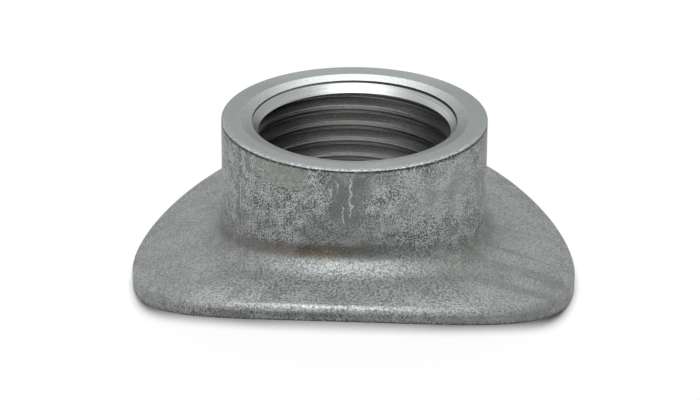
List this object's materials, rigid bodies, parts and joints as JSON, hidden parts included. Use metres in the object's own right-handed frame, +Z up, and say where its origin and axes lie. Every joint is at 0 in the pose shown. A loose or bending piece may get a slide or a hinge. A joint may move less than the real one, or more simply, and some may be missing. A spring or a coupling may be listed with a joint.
{
  "type": "oxygen sensor weld bung",
  "caption": "Round threaded collar on a thin curved saddle that is welded over a hole in an exhaust pipe, to hold an oxygen sensor.",
  "frame": {"origin": "where the thread axis meets the pipe's top line, which is the crest of the saddle's curved underside", "axes": "+Z up along the thread axis, out of the threaded mouth; +Y along the pipe; +X across the pipe, towards one of the saddle's two low ends"},
  "size_m": [0.0382, 0.0366, 0.0154],
  "materials": {
    "blasted_steel": "bare mild steel with a fine mottled blasted grain, machined and brighter on the seat and in the mouth of the bore"
  },
  "bodies": {
    "root": {"weld_bung": "blasted_steel"}
  },
  "joints": []
}
